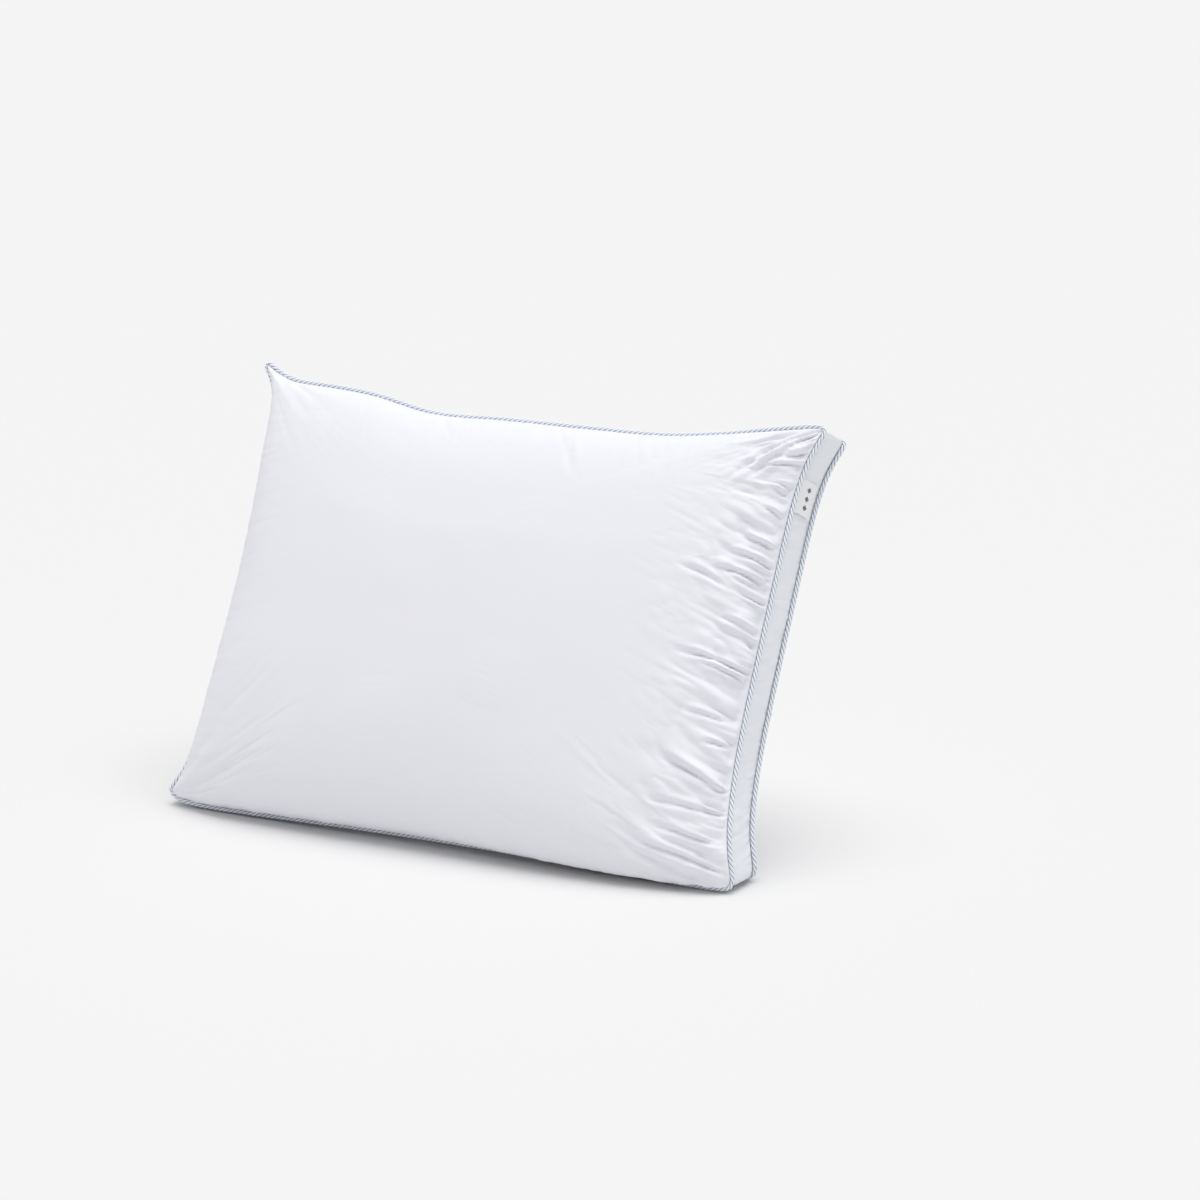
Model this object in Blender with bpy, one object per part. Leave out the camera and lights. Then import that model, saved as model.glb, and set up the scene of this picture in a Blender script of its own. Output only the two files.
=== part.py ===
"""Gusseted bed pillow with corded seams, standing on one long edge and leaning back.

Metres, +Z up. X runs along the pillow's width and the front panel faces -Y. The origin is the middle
of the flat strip on which the bottom gusset stands.

Every piece is drawn in pillow coordinates first: x across the width, h up from the floor along the
pillow's middle sheet, and d through its depth, with the front panel at negative d. place() then stands
the pillow up and leans it back.
"""

import math

import bpy
from mathutils import Vector

# Driving sizes of the sewn case
WIDTH = 0.697  # between the corners of the stuffed case, made from 0.70 m panels
HEIGHT = 0.489  # between the corners of the stuffed case, made from 0.50 m panels
GUSSET_DEPTH = 0.050  # seam to seam
CORD_DIAMETER = 0.005
FRONT_LOFT = 0.068  # how far the front panel stands out from its seam
BACK_LOFT = 0.070

# Small sizes of the cloth and thread
CLOTH = 0.0008
TAPE = 0.0006
GAP = 0.0003
THREAD_RADIUS = 0.00025
STITCH_INSET = 0.0018
SEAM_ALLOWANCE = 0.009
ALLOWANCE_TAPER = 0.12  # the allowances are cut in towards each corner over this share of half a side
FILL_CLEARANCE = 0.0006

# Posture
LEAN = math.radians(26.5)
BEND_HEIGHT = 0.075  # the middle sheet curves over this length, then runs straight
DEPTH_TURN_HEIGHT = 0.20  # the depth direction turns from level to square with the lean over this length
SEAM_HEIGHT = CORD_DIAMETER + GAP + 0.0004  # bottom seams above the floor, which leaves room for the cord
FRONT_SAG = 0.004  # how much the filling presses the lowest part of each panel down
BACK_SAG = 0.032
BACK_SLUMP = 0.95  # extra loft of the back panel close to the floor, where the filling has settled
SLUMP_HEIGHT = 0.12

# Outline of both seams
LEFT_PULL, LEFT_PULL_POWER, LEFT_WAIST = 0.031, 11, 0.011
RIGHT_PULL, RIGHT_PULL_POWER, RIGHT_FLOOR_POWER = 0.023, 7, 3.2
LEFT_CORNER_LIFT, RIGHT_CORNER_LIFT = 0.009, 0.002
CORNER_LIFT_POWER = 16
MIDDLE_LIFT = 0.005  # the bottom seams arch up a little between the corners
CORNER_TRIM = 0.003  # how far each corner is rounded in from both sides
SIDE_ROUNDING, TOP_ROUNDING = 50, 60  # powers: higher ones keep the rounding closer to the corner
TOP_DIP = [  # (share of the width from the left, how far the top seam sags)
    (0.00, 0.000),
    (0.035, 0.013),
    (0.07, 0.0205),
    (0.15, 0.0225),
    (0.22, 0.026),
    (0.33, 0.038),
    (0.45, 0.0355),
    (0.60, 0.0335),
    (0.73, 0.031),
    (0.83, 0.022),
    (0.92, 0.0095),
    (1.00, 0.000),
]

# Crown of the panels
CROWN_POWER = 2.5
EDGE_STEEPNESS = 3.3
RIGHT_STEEPNESS = 2.0  # the panels slope down more gently to the right seam, which gathers them
BACK_FLOOR_STEEPNESS = 5.0
FRONT_FLOOR_STEEPNESS = (2.4, 4.4)  # at the left and right ends, where the panel overhangs its seam most
GUSSET_CROWN = 0.003
GUSSET_RISE = 0.28  # share of its depth over which the gusset rises from each seam

# Label sewn into the front seam of the right gusset
LABEL_TOP = 0.052  # down from the top seam
LABEL_LENGTH = 0.037
LABEL_WIDTH = 0.033
LABEL_THICKNESS = 0.0005

# How finely each piece is divided
CELLS_ACROSS = 22
CELLS_UP = 16
CELL_CROWDING = 0.86
CORD_SIDES = 8
THREAD_SIDES = 4
GUSSET_CELLS = 10
FILL_INSET_CELLS = 2

FRONT, BACK = -1, 1
HALF_DEPTH = GUSSET_DEPTH / 2
TAPE_FACE = TAPE / 2 + GAP
LABEL_STITCH_DEPTH = -HALF_DEPTH + CORD_DIAMETER / 2 + GAP + THREAD_RADIUS
# The label's thick edge swings towards its stitches as it lifts, so it starts that much further on.
LABEL_START = LABEL_STITCH_DEPTH + THREAD_RADIUS + LABEL_THICKNESS + GAP / 2


def eased(share):
    share = min(max(share, 0.0), 1.0)
    return share * share * (3 - 2 * share)


def through(points, where):
    """A smooth curve through (position, value) points, read at one position."""
    last = len(points) - 1
    slopes = []
    for i in range(last + 1):
        before, after = points[max(i - 1, 0)], points[min(i + 1, last)]
        slopes.append((after[1] - before[1]) / (after[0] - before[0]))
    i = max(k for k in range(last) if points[k][0] <= where or k == 0)
    span = points[i + 1][0] - points[i][0]
    s = (where - points[i][0]) / span
    return (
        (2 * s**3 - 3 * s**2 + 1) * points[i][1]
        + (s**3 - 2 * s**2 + s) * span * slopes[i]
        + (3 * s**2 - 2 * s**3) * points[i + 1][1]
        + (s**3 - s**2) * span * slopes[i + 1]
    )


def place(x, h, d):
    """Stand one point of the pillow up and lean it back."""
    radius = BEND_HEIGHT / LEAN
    if h < BEND_HEIGHT:
        y, z = radius * (1 - math.cos(h / radius)), radius * math.sin(h / radius)
        if h < 0:
            y, z = 0.0, h
    else:
        y = radius * (1 - math.cos(LEAN)) + (h - BEND_HEIGHT) * math.sin(LEAN)
        z = radius * math.sin(LEAN) + (h - BEND_HEIGHT) * math.cos(LEAN)
    turn = LEAN * eased(h / DEPTH_TURN_HEIGHT)
    return Vector((x, y + d * math.cos(turn), z - d * math.sin(turn)))


def sheet_point(a, b):
    """(x, h) inside the seam outline, for a and b from -1 to 1 across and up the pillow."""
    trim_x, trim_h = CORNER_TRIM / (WIDTH / 2), CORNER_TRIM / (HEIGHT / 2)
    nearest_side, nearest_end = min(abs(a), 1), min(abs(b), 1)
    a *= 1 - trim_x * nearest_end**SIDE_ROUNDING
    b *= 1 - trim_h * nearest_side**TOP_ROUNDING
    across, up = (a + 1) / 2, (b + 1) / 2
    lift = LEFT_CORNER_LIFT if a < 0 else RIGHT_CORNER_LIFT
    bottom = SEAM_HEIGHT + lift * abs(a) ** CORNER_LIFT_POWER + MIDDLE_LIFT * (1 - a * a) ** 2
    top = HEIGHT - through(TOP_DIP, across)
    left = -WIDTH / 2 + LEFT_PULL * (1 - abs(b) ** LEFT_PULL_POWER) + LEFT_WAIST * (1 - b * b) ** 2
    right_power = RIGHT_PULL_POWER if b > 0 else RIGHT_FLOOR_POWER
    right = WIDTH / 2 - RIGHT_PULL * (1 - abs(b) ** right_power)
    return Vector((left + (right - left) * across, bottom + (top - bottom) * up))


def stations(cells):
    """Positions from -1 to 1 that crowd together towards both ends."""
    reach = math.pi / 2 * CELL_CROWDING
    return [math.sin(reach * (2 * i / cells - 1)) / math.sin(reach) for i in range(cells + 1)]


ACROSS = stations(CELLS_ACROSS)
UP = stations(CELLS_UP)


def rim_of(across, up):
    """The (a, b) pairs round a grid's edge, anticlockwise from the bottom left as the front shows it."""
    low, high, left, right = up[0], up[-1], across[0], across[-1]
    return (
        [(a, low) for a in across[:-1]]
        + [(right, b) for b in up[:-1]]
        + [(a, high) for a in across[:0:-1]]
        + [(left, b) for b in up[:0:-1]]
    )


RIM = rim_of(ACROSS, UP)
CORNERS = [0, CELLS_ACROSS, CELLS_ACROSS + CELLS_UP, 2 * CELLS_ACROSS + CELLS_UP]


def outward(index):
    """Unit vector that points out of the seam outline at one station of the rim, in (x, h)."""
    before = sheet_point(*RIM[index - 1])
    here = sheet_point(*RIM[index])
    after = sheet_point(*RIM[(index + 1) % len(RIM)])
    along = (here - before).normalized() + (after - here).normalized()
    return Vector((along.y, -along.x)).normalized()


RIM_POINTS = [sheet_point(a, b) for a, b in RIM]
RIM_OUTWARD = [outward(i) for i in range(len(RIM))]


def beside_seam(index, offset, d):
    """A point beside the seam outline: positive offsets lie outside it."""
    point = RIM_POINTS[index] + RIM_OUTWARD[index] * offset
    return place(point.x, point.y, d)


def drawn_in(position, limit):
    """Squeeze only the last stretch before either end, so that the position stays within the limit."""
    start = 1 - ALLOWANCE_TAPER
    if abs(position) <= start:
        return position
    squeezed = start + (abs(position) - start) * (limit - start) / ALLOWANCE_TAPER
    return math.copysign(squeezed, position)


def inside_seam(pair, inset, d):
    """A point well inside the seam outline, where following the outline squarely would cross at corners."""
    a, b = pair
    point = sheet_point(drawn_in(a, 1 - 2 * inset / WIDTH), drawn_in(b, 1 - 2 * inset / HEIGHT))
    return place(point.x, point.y, d)


def crown(a, b, side):
    """Share of the full loft that the panel reaches at (a, b)."""
    steep = EDGE_STEEPNESS
    if b < 0 and side == BACK:
        steep = BACK_FLOOR_STEEPNESS
    elif b < 0:
        at_left, at_right = FRONT_FLOOR_STEEPNESS
        at_floor = at_left + (at_right - at_left) * eased((a + 1) / 2)
        steep += (at_floor - EDGE_STEEPNESS) * eased(-4 * b)
    beside = RIGHT_STEEPNESS if a > 0 else EDGE_STEEPNESS
    across = max(1 - abs(a) ** CROWN_POWER, 0) ** (1 / beside)
    up = max(1 - abs(b) ** CROWN_POWER, 0) ** (1 / steep)
    height = (b + 1) / 2 * HEIGHT
    slump = BACK_SLUMP * (1 - a * a) * math.exp(-((height / SLUMP_HEIGHT) ** 2)) if side == BACK else 0
    return across * up * (1 + slump)


def panel_point(a, b, side):
    """A point of the panel's outer face, pressed flat where it meets the floor."""
    loft, sag = (FRONT_LOFT, FRONT_SAG) if side == FRONT else (BACK_LOFT, BACK_SAG)
    stand_out = loft * crown(a, b, side)
    x, h = sheet_point(a, b)
    point = place(x, h, side * (HALF_DEPTH + TAPE_FACE + stand_out))
    pressed = sag * eased(stand_out / (0.6 * loft)) * (1 - eased(h / (0.6 * HEIGHT)))
    point.z = max(point.z - pressed, 0.0)
    return point


def normals_of(grid, side):
    """Unit vectors out of the pillow at each point of a grid of panel points."""
    rows, columns = len(grid), len(grid[0])
    found = []
    for j in range(rows):
        row = []
        for i in range(columns):
            along = grid[j][min(i + 1, columns - 1)] - grid[j][max(i - 1, 0)]
            up = grid[min(j + 1, rows - 1)][i] - grid[max(j - 1, 0)][i]
            row.append(along.cross(up).normalized() * -side)
        found.append(row)
    return found


def panel_grid(side):
    return [[panel_point(a, b, side) for a in ACROSS] for b in UP]


def shrunk(grid, normals, depth):
    """The same grid, moved into the pillow and kept off the floor by the same amount."""
    return [
        [point - normal * depth for point, normal in zip(points, row)]
        for points, row in zip(grid, normals)
    ]


def rim_indices(columns, rows):
    """Places of the rim points in a grid's flat list of points, in the order of rim_of."""
    return (
        list(range(columns - 1))
        + [j * columns + columns - 1 for j in range(rows - 1)]
        + [(rows - 1) * columns + i for i in range(columns - 1, 0, -1)]
        + [j * columns for j in range(rows - 1, 0, -1)]
    )


def grid_faces(columns, rows, start, flip):
    faces = []
    for j in range(rows - 1):
        for i in range(columns - 1):
            corner = start + j * columns + i
            face = (corner, corner + 1, corner + columns + 1, corner + columns)
            faces.append(face[::-1] if flip else face)
    return faces


def band(first, second, closed=True):
    """Faces between two rows of vertex numbers of the same length."""
    count = len(first)
    return [
        (first[i], first[(i + 1) % count], second[(i + 1) % count], second[i])
        for i in range(count if closed else count - 1)
    ]


def material(name, colour, roughness, sheen=0.0):
    made = bpy.data.materials.new(name)
    made.use_nodes = True
    shader = made.node_tree.nodes["Principled BSDF"]
    shader.inputs["Base Color"].default_value = (*colour, 1)
    shader.inputs["Roughness"].default_value = roughness
    shader.inputs["Sheen Weight"].default_value = sheen
    return made


def split(points, face):
    """Cut a four-sided face along its shorter diagonal, so that stacked layers are cut alike."""
    if len(face) != 4:
        return [face]
    first, second, third, fourth = face
    if (points[first] - points[third]).length <= (points[second] - points[fourth]).length:
        return [(first, second, third), (first, third, fourth)]
    return [(first, second, fourth), (second, third, fourth)]


def solid(name, points, faces, colour):
    """One closed object that faces outwards, whichever way round its faces were listed."""
    faces = [piece for face in faces for piece in split(points, face)]
    volume = 0.0
    for face in faces:
        for second, third in zip(face[1:], face[2:]):
            volume += points[face[0]].dot(points[second].cross(points[third]))
    if volume < 0:
        faces = [face[::-1] for face in faces]
    mesh = bpy.data.meshes.new(name)
    mesh.from_pydata([tuple(point) for point in points], [], faces)
    made = bpy.data.objects.new(name, mesh)
    made.data.materials.append(colour)
    bpy.context.scene.collection.objects.link(made)
    return made


def panel(name, side, colour):
    """A cloth panel: its crowned face, and the seam allowance turned in under its edge."""
    outer = panel_grid(side)
    inner = shrunk(outer, normals_of(outer, side), CLOTH)
    columns, rows = len(ACROSS), len(UP)
    rim = rim_indices(columns, rows)
    points = [point for row in outer for point in row]
    inner_start = len(points)
    points += [point for row in inner for point in row]
    near, far = HALF_DEPTH + TAPE_FACE, HALF_DEPTH + TAPE_FACE + CLOTH
    for index, place_in_grid in enumerate(rim):
        points[place_in_grid] = beside_seam(index, 0, side * near)
        points[inner_start + place_in_grid] = beside_seam(index, -1.1 * CLOTH, side * (far + GAP / 3))
    turned = len(points)
    points += [inside_seam(pair, SEAM_ALLOWANCE, side * near) for pair in RIM]
    points += [inside_seam(pair, SEAM_ALLOWANCE, side * far) for pair in RIM]
    under = list(range(turned, turned + len(RIM)))
    over = list(range(turned + len(RIM), turned + 2 * len(RIM)))
    faces = grid_faces(columns, rows, 0, False) + grid_faces(columns, rows, inner_start, True)
    faces += band(under, rim) + band(over, under) + band([inner_start + i for i in rim], over)
    return solid(name, points, faces, colour)


def rim_ring(name, section, colour):
    """A closed ring round the whole seam, from a function of the station that gives its cross-section."""
    points, rows = [], []
    for index in range(len(RIM)):
        here = section(index)
        rows.append(list(range(len(points), len(points) + len(here))))
        points += here
    faces = []
    for i in range(len(rows)):
        faces += band(rows[i], rows[(i + 1) % len(rows)])
    return solid(name, points, faces, colour)


def round_section(index, offset, d, radius, sides):
    """The cross-section of a cord or thread that runs beside the seam."""
    centre = beside_seam(index, offset, d)
    across = (beside_seam(index, offset + 0.001, d) - centre).normalized()
    through_depth = (beside_seam(index, offset, d + 0.001) - centre).normalized()
    turns = [2 * math.pi * (k + 0.5) / sides for k in range(sides)]
    return [centre + (across * math.cos(t) + through_depth * math.sin(t)) * radius for t in turns]


def cord(name, side, colour):
    offset = GAP + CORD_DIAMETER / 2
    return rim_ring(
        name,
        lambda index: round_section(
            index, offset, side * HALF_DEPTH, CORD_DIAMETER / 2, CORD_SIDES
        ),
        colour,
    )


def tape(name, side, colour):
    def section(index):
        near, far = side * HALF_DEPTH - TAPE / 2, side * HALF_DEPTH + TAPE / 2
        return [
            beside_seam(index, 0, near),
            beside_seam(index, 0, far),
            inside_seam(RIM[index], SEAM_ALLOWANCE, far),
            inside_seam(RIM[index], SEAM_ALLOWANCE, near),
        ]

    return rim_ring(name, section, colour)


def seam_thread(name, side, colour):
    d = side * (HALF_DEPTH - TAPE_FACE - CLOTH - GAP - THREAD_RADIUS)
    return rim_ring(
        name,
        lambda index: round_section(index, -STITCH_INSET, d, THREAD_RADIUS, THREAD_SIDES),
        colour,
    )


def gusset_crown(index, share):
    """How far the gusset stands out from its seams, for a share of its depth from front to back."""
    from_corner = 1 - eased(min(abs(RIM_POINTS[index].x), WIDTH / 2) / (WIDTH / 2) * 6 - 5)
    on_floor = index <= CORNERS[1]
    full = GUSSET_CROWN
    if on_floor:
        full += (RIM_POINTS[index].y - GUSSET_CROWN) * from_corner
    return full * eased(min(share, 1 - share) / GUSSET_RISE)


def gusset_face(index, share, lift):
    """A point of the gusset's outer face, or of a face parallel to it."""
    half = HALF_DEPTH - TAPE_FACE
    return beside_seam(index, gusset_crown(index, share) + lift, half * (2 * share - 1))


def gusset(name, first, last, colour):
    """The strip between the seams on one side of the pillow, with both edges turned in."""
    shares = [i / GUSSET_CELLS for i in range(GUSSET_CELLS + 1)]
    half = HALF_DEPTH - TAPE_FACE
    points, rows = [], []
    for index in range(first, last + 1):
        station = index % len(RIM)
        here = [gusset_face(station, share, 0) for share in shares]
        here.append(inside_seam(RIM[station], SEAM_ALLOWANCE, half))
        here.append(inside_seam(RIM[station], SEAM_ALLOWANCE, half - CLOTH))
        inner_shares = shares[-1:0:-1] + [0]
        for share in inner_shares:
            squeezed = 0.5 + (share - 0.5) * (half - CLOTH) / half
            point_d = half * (2 * squeezed - 1)
            here.append(beside_seam(station, gusset_crown(station, share) - CLOTH, point_d))
        here.append(inside_seam(RIM[station], SEAM_ALLOWANCE, -half + CLOTH))
        here.append(inside_seam(RIM[station], SEAM_ALLOWANCE, -half))
        rows.append(list(range(len(points), len(points) + len(here))))
        points += here
    join_gap(points, rows[0], rows[1])
    join_gap(points, rows[-1], rows[-2])
    faces = [rows[0][::-1], rows[-1]]
    for before, after in zip(rows, rows[1:]):
        faces += band(before, after)
    return solid(name, points, faces, colour)


def join_gap(points, end, beside):
    """Draw one end of a strip back so that it stays clear of its neighbour at the corner."""
    for moved, towards in zip(end, beside):
        step = points[towards] - points[moved]
        points[moved] = points[moved] + step * min(GAP / max(step.length, 1e-6), 0.4)


def fill(name, colour):
    """The fibre filling: inside both panels, and out to the gusset between the seam allowances."""
    skip = FILL_INSET_CELLS
    across, up = ACROSS[skip:-skip], UP[skip:-skip]
    columns, rows = len(across), len(up)
    rim_places = rim_indices(columns, rows)
    points, faces = [], []
    edges = []
    for side in (FRONT, BACK):
        outer = panel_grid(side)
        grid = shrunk(outer, normals_of(outer, side), CLOTH + FILL_CLEARANCE)
        start = len(points)
        points += [point for row in grid[skip:-skip] for point in row[skip:-skip]]
        faces += grid_faces(columns, rows, start, side == BACK)
        edges.append([start + i for i in rim_places])
    front_edge, back_edge = edges
    stretched = [(a / across[-1], b / up[-1]) for a, b in rim_of(across, up)]
    clear = SEAM_ALLOWANCE + 0.004
    close = 0.0035
    rings = [(clear, -HALF_DEPTH - 0.004), (clear, -HALF_DEPTH + 0.004), (close, -HALF_DEPTH + 0.007)]
    rings += [(inset, -d) for inset, d in reversed(rings)]
    chain = [front_edge]
    for inset, d in rings:
        start = len(points)
        points += [inside_seam(pair, inset, d) for pair in stretched]
        chain.append(list(range(start, start + len(stretched))))
    chain.append(back_edge)
    for before, after in zip(chain, chain[1:]):
        faces += band(after, before)
    return solid(name, points, faces, colour)


def right_side_index(up):
    """The station of the right seam nearest to a share of the height, and the share left over."""
    first = CORNERS[1]
    for index in range(first, CORNERS[2]):
        low, high = RIM[index][1], RIM[index + 1][1]
        if low <= up <= high:
            return index, (up - low) / (high - low)
    raise ValueError("the label lies outside the right seam")


def on_right_gusset(up, d, lift):
    """A point at a distance over the right gusset's outer face, at any height."""
    index, part = right_side_index(up)
    share = (d / (HALF_DEPTH - TAPE_FACE) + 1) / 2
    return gusset_face(index, share, lift).lerp(gusset_face(index + 1, share, lift), part)


def label_heights():
    top_seam = sheet_point(1, 1).y
    bottom_seam = sheet_point(1, -1).y
    length = top_seam - bottom_seam
    high = 1 - 2 * LABEL_TOP / length
    return high - 2 * LABEL_LENGTH / length, high


def label(name, colour):
    """A folded woven label that lies on the right gusset, free on three sides."""
    low, high = label_heights()
    cells = 4
    columns = [LABEL_START + LABEL_WIDTH * i / 8 for i in range(9)]
    heights = [low + (high - low) * j / cells for j in range(cells + 1)]
    points = []
    for lift in (GAP, GAP + LABEL_THICKNESS):
        points += [on_right_gusset(up, d, lift) for up in heights for d in columns]
    count, rows = len(columns), len(heights)
    outer = count * rows
    rim = rim_indices(count, rows)
    faces = grid_faces(count, rows, 0, True) + grid_faces(count, rows, outer, False)
    faces += band(rim, [outer + i for i in rim])
    return solid(name, points, faces, colour)


def label_stitch(name, colour):
    """The thread that holds the label down beside the front cord."""
    low, high = label_heights()
    d = LABEL_STITCH_DEPTH
    points, rows = [], []
    for step in range(5):
        up = low + (high - low) * step / 4
        centre = on_right_gusset(up, d, GAP + THREAD_RADIUS)
        out = (on_right_gusset(up, d, GAP + THREAD_RADIUS + 0.001) - centre).normalized()
        along = on_right_gusset(up + 0.01, d, GAP + THREAD_RADIUS) - centre
        beside = out.cross(along.normalized())
        rows.append(list(range(len(points), len(points) + 6)))
        for k in range(6):
            turn = 2 * math.pi * k / 6
            points.append(centre + (out * math.cos(turn) + beside * math.sin(turn)) * THREAD_RADIUS)
    faces = [rows[0][::-1], rows[-1]]
    for before, after in zip(rows, rows[1:]):
        faces += band(before, after)
    return solid(name, points, faces, colour)


def main():
    for leftover in list(bpy.data.objects):
        bpy.data.objects.remove(leftover)
    panel_cloth = material("panel_cotton", (0.87, 0.89, 0.93), 0.85, 0.3)
    gusset_cloth = material("gusset_cotton", (0.84, 0.86, 0.90), 0.85, 0.3)
    cord_yarn = material("piping_yarn", (0.72, 0.78, 0.86), 0.80, 0.2)
    tape_cloth = material("piping_tape", (0.88, 0.89, 0.91), 0.90)
    sewing_thread = material("sewing_thread", (0.92, 0.93, 0.95), 0.70)
    fibre = material("polyester_fibre", (0.93, 0.93, 0.93), 0.95)
    label_weave = material("label_weave", (0.93, 0.93, 0.94), 0.60)

    panel("front_panel", FRONT, panel_cloth)
    panel("back_panel", BACK, panel_cloth)
    ends = CORNERS + [len(RIM)]
    for name, first, last in zip(("bottom", "right", "top", "left"), ends, ends[1:]):
        gusset(f"gusset_{name}", first, last, gusset_cloth)
    for name, side in (("front", FRONT), ("back", BACK)):
        cord(f"{name}_piping", side, cord_yarn)
        tape(f"{name}_piping_tape", side, tape_cloth)
        seam_thread(f"{name}_seam_thread", side, sewing_thread)
    fill("fibre_fill", fibre)
    label("side_label", label_weave)
    label_stitch("label_stitch", sewing_thread)


main()
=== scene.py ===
"""The looks of the gusseted bed pillow: cloth panels and gussets with seam puckers, twisted piping, a
woven side label, and a pale studio.

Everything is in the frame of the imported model. The seam outline and the crown of the panels repeat the
CAD's own, and each piece is drawn on a much finer grid. Cloth simulation then works the folds.
"""

import math

import bpy
import numpy as np
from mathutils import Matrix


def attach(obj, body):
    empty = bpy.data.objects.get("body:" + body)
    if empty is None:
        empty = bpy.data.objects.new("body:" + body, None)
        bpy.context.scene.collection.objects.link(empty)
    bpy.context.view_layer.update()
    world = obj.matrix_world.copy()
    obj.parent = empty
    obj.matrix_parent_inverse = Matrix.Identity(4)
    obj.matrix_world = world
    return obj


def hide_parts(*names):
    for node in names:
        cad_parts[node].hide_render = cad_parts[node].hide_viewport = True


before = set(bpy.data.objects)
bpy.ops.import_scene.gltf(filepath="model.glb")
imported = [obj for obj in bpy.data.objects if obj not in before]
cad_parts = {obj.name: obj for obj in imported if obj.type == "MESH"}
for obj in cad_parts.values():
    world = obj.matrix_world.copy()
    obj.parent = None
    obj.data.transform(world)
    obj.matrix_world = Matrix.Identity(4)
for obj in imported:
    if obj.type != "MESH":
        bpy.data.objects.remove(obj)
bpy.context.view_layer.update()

# ---------------------------------------------------------------- sizes shared with the CAD
WIDTH, HEIGHT, GUSSET_DEPTH = 0.697, 0.489, 0.050
CORD_DIAMETER, CLOTH, GAP, TAPE = 0.005, 0.0008, 0.0003, 0.0006
FRONT_LOFT, BACK_LOFT = 0.068, 0.070
LEAN = math.radians(26.5)
BEND_HEIGHT, DEPTH_TURN_HEIGHT = 0.075, 0.20
SEAM_HEIGHT = CORD_DIAMETER + GAP + 0.0004
FRONT_SAG, BACK_SAG = 0.004, 0.032
BACK_SLUMP, SLUMP_HEIGHT = 0.95, 0.12
LEFT_PULL, LEFT_PULL_POWER, LEFT_WAIST = 0.031, 11, 0.011
RIGHT_PULL, RIGHT_PULL_POWER, RIGHT_FLOOR_POWER = 0.023, 7, 3.2
LEFT_CORNER_LIFT, RIGHT_CORNER_LIFT, CORNER_LIFT_POWER = 0.009, 0.002, 16
MIDDLE_LIFT, CORNER_TRIM, SIDE_ROUNDING, TOP_ROUNDING = 0.005, 0.003, 50, 60
TOP_DIP = [
    (0.00, 0.000), (0.035, 0.013), (0.07, 0.0205), (0.15, 0.0225), (0.22, 0.026), (0.33, 0.038),
    (0.45, 0.0355), (0.60, 0.0335), (0.73, 0.031), (0.83, 0.022), (0.92, 0.0095), (1.00, 0.000),
]
CROWN_POWER, EDGE_STEEPNESS, RIGHT_STEEPNESS, BACK_FLOOR_STEEPNESS = 2.5, 3.3, 2.0, 5.0
FRONT_FLOOR_STEEPNESS = (2.2, 4.4)
FRONT_TOP_STEEPNESS = 2.5  # a softer shoulder than the CAD's, below the top cord
FLOOR_CORD_SEEN_TO = -0.15  # the front panel stays back from the bottom cord as far along as this
GUSSET_CROWN, GUSSET_RISE = 0.003, 0.28
LABEL_TOP, LABEL_LENGTH, LABEL_WIDTH, LABEL_THICKNESS = 0.052, 0.037, 0.033, 0.0005
THREAD_RADIUS = 0.00025

FRONT, BACK = -1, 1
HALF_DEPTH = GUSSET_DEPTH / 2
TAPE_FACE = TAPE / 2 + GAP
LABEL_STITCH_DEPTH = -HALF_DEPTH + CORD_DIAMETER / 2 + GAP + THREAD_RADIUS
LABEL_START = LABEL_STITCH_DEPTH + THREAD_RADIUS + LABEL_THICKNESS + GAP / 2
FLOOR_SKIN = 0.0003  # cloth that touches the floor stays this far above it

# ---------------------------------------------------------------- fineness
CELLS_ACROSS, CELLS_UP = 170, 220  # of the panels that the cloth solver works
END_CROWDING = 0.08  # share of a row of cells, at each end, over which they crowd together
FINER = 2  # the finished panels have this many times as many cells each way
GUSSET_CELLS = 18
SIMULATION_FRAMES = 14


def eased(share):
    share = np.clip(share, 0.0, 1.0)
    return share * share * (3 - 2 * share)


def through(points, where):
    """A smooth curve through (position, value) points, read at an array of positions."""
    x, y = np.array(points).T
    slopes = np.empty_like(y)
    slopes[1:-1] = (y[2:] - y[:-2]) / (x[2:] - x[:-2])
    slopes[0], slopes[-1] = (y[1] - y[0]) / (x[1] - x[0]), (y[-1] - y[-2]) / (x[-1] - x[-2])
    i = np.clip(np.searchsorted(x, where, side="right") - 1, 0, len(x) - 2)
    span = x[i + 1] - x[i]
    s = (where - x[i]) / span
    return (
        (2 * s**3 - 3 * s**2 + 1) * y[i]
        + (s**3 - 2 * s**2 + s) * span * slopes[i]
        + (3 * s**2 - 2 * s**3) * y[i + 1]
        + (s**3 - s**2) * span * slopes[i + 1]
    )


def place(x, h, d):
    """Stand points of the pillow up and lean them back: x across, h up the middle sheet, d through."""
    x, h, d = np.broadcast_arrays(x, h, d)
    radius = BEND_HEIGHT / LEAN
    bend = np.clip(h, 0, BEND_HEIGHT) / radius
    straight = np.maximum(h - BEND_HEIGHT, 0)
    y = radius * (1 - np.cos(bend)) + straight * math.sin(LEAN)
    z = radius * np.sin(bend) + straight * math.cos(LEAN) + np.minimum(h, 0)
    turn = LEAN * eased(h / DEPTH_TURN_HEIGHT)
    return np.stack([x, y + d * np.cos(turn), z - d * np.sin(turn)], -1)


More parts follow.
